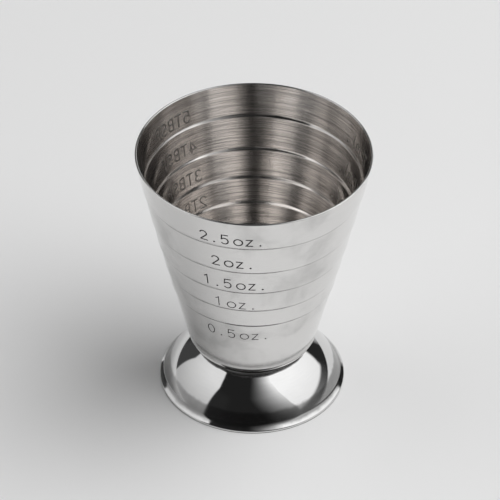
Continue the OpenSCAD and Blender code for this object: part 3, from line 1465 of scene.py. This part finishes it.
class SkySheet(NodeSheet):
    """The world's sheet: brightness by direction. Its angles are given in degrees."""

    ROOM = 0.017
    HEAD = (76, 68)

    def __init__(self, tree: bpy.types.NodeTree) -> None:
        """Finds the direction's shares and angles, and the right window's front frame."""
        super().__init__(tree)
        self.x, self.y, self.z = self.split(self.out(self.node("ShaderNodeTexCoord"), "Generated"))
        self.azimuth = self.math("ARCTAN2", self.x, self.y * -1.0)
        self.height = self.math("ARCSINE", self.z)
        self.frame = self.ramp(self.height, 16, 27, math.radians(60), math.radians(53.5))
        self.frame = self.frame + self.ramp(self.height, 27, 48, 0.0, math.radians(-7.5))

    def edge(
        self, angle: Signal, low: float, high: float, to_low: float = 0.0, to_high: float = 1.0
    ) -> Signal:
        """A soft edge between two angles."""
        return self.smooth(angle, math.radians(low), math.radians(high), to_low, to_high)

    def ramp(
        self, angle: Signal, low: float, high: float, to_low: float, to_high: float
    ) -> Signal:
        """An even change between two angles."""
        return self.ranged("LINEAR", angle, math.radians(low), math.radians(high), to_low, to_high)

    def room(self) -> Signal:
        """The unlit room: dark in front and behind, and lighter under and beside the windows."""
        round_it, up = self.azimuth, self.height
        under = self.edge(round_it, 46, 60) * self.ramp(round_it, 84, 126, 0.22, 0.006)
        under = under * self.edge(up, 40, 30)
        behind = self.edge(round_it, 141, 147) * self.edge(round_it, 180, 172)
        behind = behind * self.edge(up, 38, 28, 0.0, 0.42)
        left = self.edge(round_it, -118, -122) * self.edge(round_it, -147, -141, 0.0, 0.035)
        ahead = self.edge(round_it, -28, -42) * self.edge(up, 48, 38, 0.0, 0.006)
        return self.ROOM + ((under + behind) + (left + ahead))

    def lit_wall(self) -> Signal:
        """The wall beside the right window, which brightens towards it."""
        up = self.height
        start = self.ramp(up, 25, 46, 0.0, math.radians(-17))
        share = self.math("DIVIDE", self.azimuth - start, self.frame - start, clamp=True)
        full = self.ramp(up, 12, 38, 0.22, 0.8) + self.ramp(up, 38, 60, 0.0, 0.25)
        wall = self.math("POWER", share, 2.5) * full
        return wall * self.edge(self.azimuth - self.frame, 4, 0) * self.edge(up, *self.HEAD)

    def right_window(self) -> Signal:
        """The large window to the right, with a level sill and a back edge that leans away."""
        up = self.height
        back_edge = self.ramp(up, 16, 58, math.radians(121), math.radians(150))
        sides = self.edge(self.azimuth - self.frame, -2, 2) * self.edge(
            self.azimuth - back_edge, 3, -3
        )
        pane = self.ramp(up, 15, 50, 1.0, 1.18)
        return sides * (self.edge(up, 10, 16) * self.edge(up, *self.HEAD)) * pane

    def left_window(self) -> Signal:
        """The window to the left, which reaches the floor and has a level head."""
        across = self.most(self.x * -1.0, 1e-4)
        head_line = self.y / across * 2.24 + 2.63
        head = self.smooth(self.z / across - head_line, 0.12, -0.12)
        back_edge = self.ramp(self.height, 30, 58, math.radians(-121), math.radians(-145))
        sides = self.edge(self.azimuth, -57, -60) * self.edge(self.azimuth - back_edge, -2, 1)
        return sides * head * self.ramp(self.height, 6, 48, 0.5, 0.88)

    def give(self, backdrop: float) -> None:
        """Joins the sky, with a plain backdrop for the camera and pale at its mirrored foot.

        Args:
            backdrop: brightness of what is behind the floor.
        """
        windows = self.right_window(), self.left_window()
        level = self.most(self.room(), self.lit_wall(), *windows)
        rays = self.node("ShaderNodeLightPath")
        mirrored = self.most(self.out(rays, "Is Glossy Ray"), self.out(rays, "Is Transmission Ray"))
        foot = self.edge(self.height, 2.0, 0.5)
        plain = self.most(self.out(rays, "Is Camera Ray"), foot * mirrored)
        light = self.node("ShaderNodeBackground")
        strength = self.mix(plain, level, backdrop, "FLOAT")
        self.fill(light, {"Color": (1.0, 1.0, 1.0, 1.0), "Strength": strength})
        self.fill(self.node("ShaderNodeOutputWorld"), {"Surface": self.out(light)})


@dataclass(frozen=True)
class Lamp:
    """A soft square lamp that lights the floor and is not mirrored in the metal.

    Attributes:
        name: name of the lamp.
        azimuth: where it hangs, in degrees from the front towards +X.
        elevation: its height above the horizon, in degrees.
        size: side of the lamp, in metres.
        power: its power, in watts.
        distance: how far it hangs from the origin, in metres.
    """

    name: str
    azimuth: float
    elevation: float
    size: float
    power: float
    distance: float = 1.6

    def hang(self) -> None:
        """Makes the lamp and turns it to the origin."""
        data = bpy.data.lights.new(self.name, "AREA")
        data.shape, data.size, data.energy = "SQUARE", self.size, self.power
        lamp = link_new(self.name, data)
        way = way_to(math.radians(self.azimuth), math.radians(self.elevation))
        lamp.location = way * self.distance
        lamp.rotation_mode = "QUATERNION"
        lamp.rotation_quaternion = (-way).to_track_quat("-Z", "Y")
        lamp.visible_glossy = False
        lamp.visible_camera = False


@dataclass
class Studio:
    """Camera, floor, sky and soft lamps.

    Attributes:
        lens: focal length, in mm.
        sensor: width of the camera's sensor, in mm.
        elevation: height of the camera above the horizon, in radians.
        distance: distance from the camera to its target, in metres.
        target: the point that the camera looks at, in metres.
        roll: turn of the camera round its own axis, in radians.
        clip: nearest and farthest that the camera sees, in metres.
        floor_reach: distance from the origin to the floor's sides, in metres.
        floor_colour: colour of the floor.
        floor_roughness: roughness of the floor.
        floor_shine: how much the floor mirrors.
        backdrop: brightness of what is behind the floor.
        lamps: the soft lamps.
    """

    lens: float = 216.0
    sensor: float = 36.0
    elevation: float = 0.67307
    distance: float = 0.772755
    target: tuple[float, float, float] = (-0.0008, 0.0, 0.04144)
    roll: float = 0.00796
    clip: tuple[float, float] = (0.01, 100.0)
    floor_reach: float = 6.0
    floor_colour: Colour = (0.80, 0.80, 0.80)
    floor_roughness: float = 0.7
    floor_shine: float = 0.15
    backdrop: float = 0.76
    lamps: tuple[Lamp, ...] = (
        Lamp("lamp_right", azimuth=88, elevation=57, size=1.7, power=19.5),
        Lamp("lamp_over", azimuth=175, elevation=70, size=1.8, power=1.2),
    )

    def place_camera(self) -> None:
        """Makes the camera at the photograph's angle."""
        data = bpy.data.cameras.new("camera")
        data.lens, data.sensor_width = self.lens, self.sensor
        data.clip_start, data.clip_end = self.clip
        camera = link_new("camera", data)
        way = way_to(0.0, self.elevation)
        camera.location = Vector(self.target) + way * self.distance
        look = (-way).to_track_quat("-Z", "Y")
        camera.rotation_mode = "QUATERNION"
        camera.rotation_quaternion = look @ Quaternion((0.0, 0.0, 1.0), self.roll)
        bpy.context.scene.camera = camera

    def lay_floor(self) -> None:
        """Makes the plain pale floor."""
        mesh = bpy.data.meshes.new("floor")
        s = self.floor_reach
        mesh.from_pydata([(-s, -s, 0), (s, -s, 0), (s, s, 0), (-s, s, 0)], [], [(0, 1, 2, 3)])
        floor = link_new("floor", mesh)
        material, sheet, surface = new_surface("floor_plain")
        sheet.fill(surface, {
            "Base Color": (*self.floor_colour, 1.0),
            "Roughness": self.floor_roughness,
            "Specular IOR Level": self.floor_shine,
        })
        mesh.materials.append(material)

    def hang_sky(self) -> None:
        """Makes the world: a dim room with a tall window on each side, and pale at its foot."""
        world = bpy.data.worlds.new("studio")
        bpy.context.scene.world = world
        world.use_nodes = True
        SkySheet(world.node_tree).give(self.backdrop)

    def build(self) -> None:
        """Sets up the whole studio."""
        self.place_camera()
        self.lay_floor()
        self.hang_sky()
        for lamp in self.lamps:
            lamp.hang()
        bpy.context.scene.view_settings.view_transform = "Standard"


def main() -> None:
    """Builds and dresses every piece, then the studio."""
    effects = Effects()
    for maker in (MeasuringCup(), Foot(), Welds()):
        piece = maker.build()
        maker.dress(piece, effects)
        log.info("%s: %d faces", piece.name, len(piece.data.polygons))
    Studio().build()


if __name__ == "__main__":
    main()
